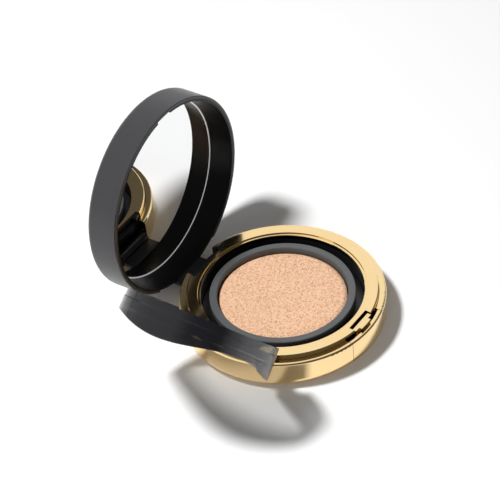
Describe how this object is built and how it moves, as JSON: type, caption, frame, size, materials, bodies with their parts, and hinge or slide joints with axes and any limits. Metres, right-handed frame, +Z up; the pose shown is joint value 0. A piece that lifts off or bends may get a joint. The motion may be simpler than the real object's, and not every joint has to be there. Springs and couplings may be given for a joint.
{
  "type": "cushion powder compact",
  "caption": "Round gold and black cushion compact with a mirror lid, a clear side-hinged inner lid, a push-button latch and a refill with a foam sponge.",
  "frame": {"origin": "centre of the foot pad's underside, on the table", "axes": "+Z up along the compact's axis, +Y towards the lid's hinge, -Y towards the push button"},
  "size_m": [0.1169, 0.0997, 0.0801],
  "materials": {
    "gold": "polished champagne gold plating",
    "black": "black plastic",
    "satin_black": "satin black",
    "gloss_black": "gloss black",
    "grey": "satin dark grey",
    "smoke": "smoky clear plastic",
    "gasket": "clear silicone",
    "foam": "beige open-cell foam soaked with foundation",
    "steel": "steel",
    "mirror": "silvered glass",
    "foot": "black rubber"
  },
  "bodies": {
    "base": {"base_shell": "gold", "foot_pad": "foot", "weight_plate": "steel", "base_well": "black", "deck_ring": "gold", "hinge_bracket": "black", "refill_cup": "black", "refill_collar": "grey", "sponge": "foam", "inner_lid_pin": "steel", "latch_spring": "steel", "lid_hinge_pin": "steel"},
    "button": {"push_button": "gold", "latch_catch": "gold"},
    "lid": {"lid_shell": "satin_black", "lid_liner": "gloss_black", "mirror": "mirror", "mirror_tape": "foot", "lid_arm": "black"},
    "inner_lid": {"inner_lid": "smoke", "inner_lid_gasket": "gasket"}
  },
  "joints": [
    {"name": "lid_hinge", "type": "hinge", "parent": "base", "child": "lid", "pos_m": [0, 0.0365, 0.0051], "axis": [1, 0, 0], "range_deg": [0, 52]},
    {"name": "inner_lid_hinge", "type": "hinge", "parent": "base", "child": "inner_lid", "pos_m": [-0.032, 0, 0.0121], "axis": [0, 1, 0], "range_deg": [0, 130.8]},
    {"name": "button_press", "type": "slide", "parent": "base", "child": "button", "axis": [0, 1, 0], "range_m": [0, 0.0008], "stiffness_N_per_m": 900, "springref_m": -0.0006, "deforming": ["latch_spring"]}
  ]
}
